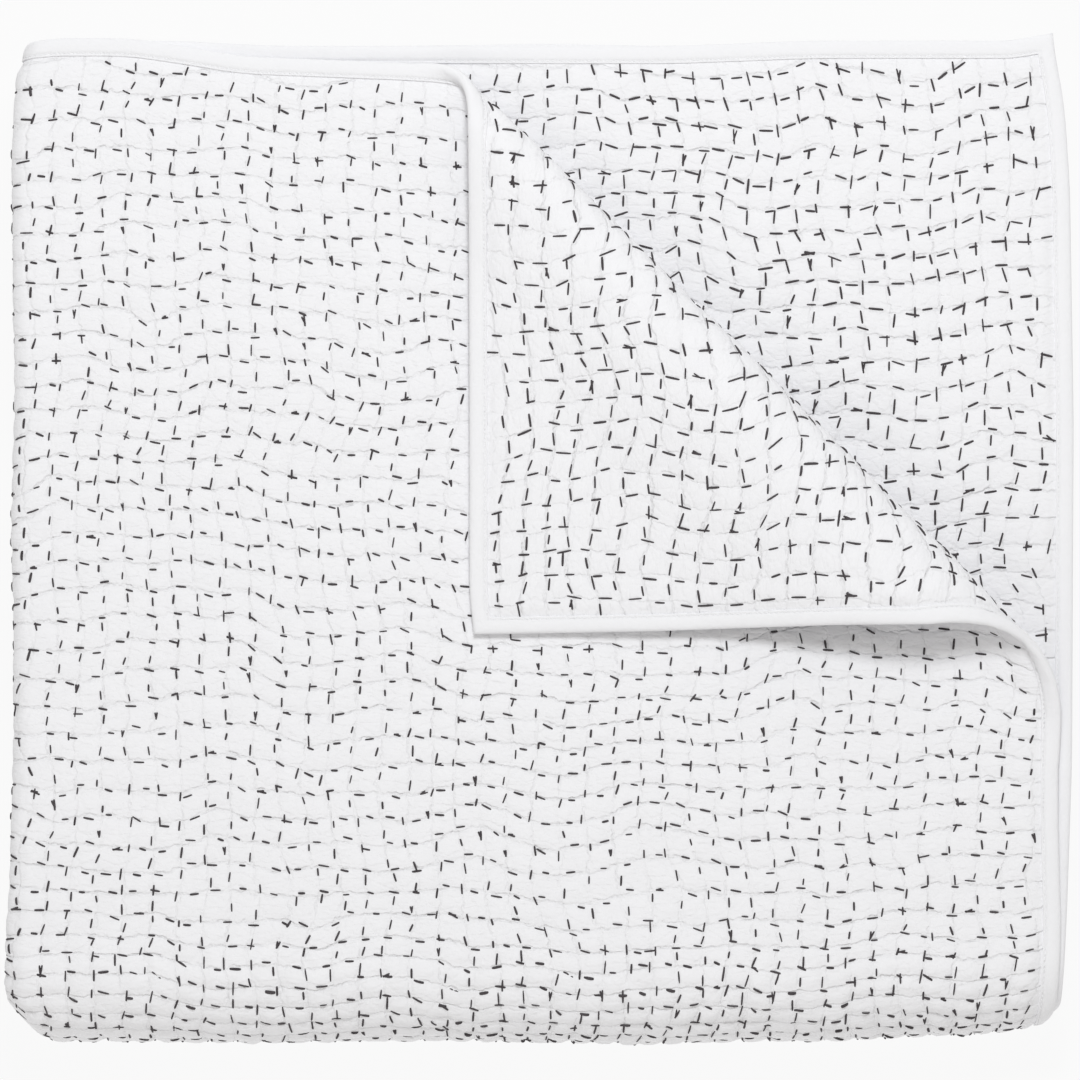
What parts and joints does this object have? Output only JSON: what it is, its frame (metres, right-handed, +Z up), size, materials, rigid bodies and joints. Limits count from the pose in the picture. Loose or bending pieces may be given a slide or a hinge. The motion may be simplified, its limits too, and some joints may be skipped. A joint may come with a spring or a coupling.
{
  "type": "folded quilted coverlet",
  "caption": "White hand-quilted cotton coverlet with a narrow bound edge, folded in four both ways into a flat square stack, one corner of its top layer turned back over a soft roll",
  "frame": {"origin": "the middle of the underside of the folded coverlet's bounding box, on the surface that it lies on", "axes": "+Z up through the stack; +X to the right of the picture, towards the bound side edges; +Y to the top of the picture, towards the bound end edges"},
  "size_m": [0.5918, 0.5586, 0.1252],
  "materials": {
    "quilted_cotton": "matte hand-quilted cotton",
    "binding_cotton": "matte plain cotton"
  },
  "bodies": {
    "root": {"quilted_panel": "quilted_cotton", "binding": "binding_cotton"}
  },
  "joints": []
}
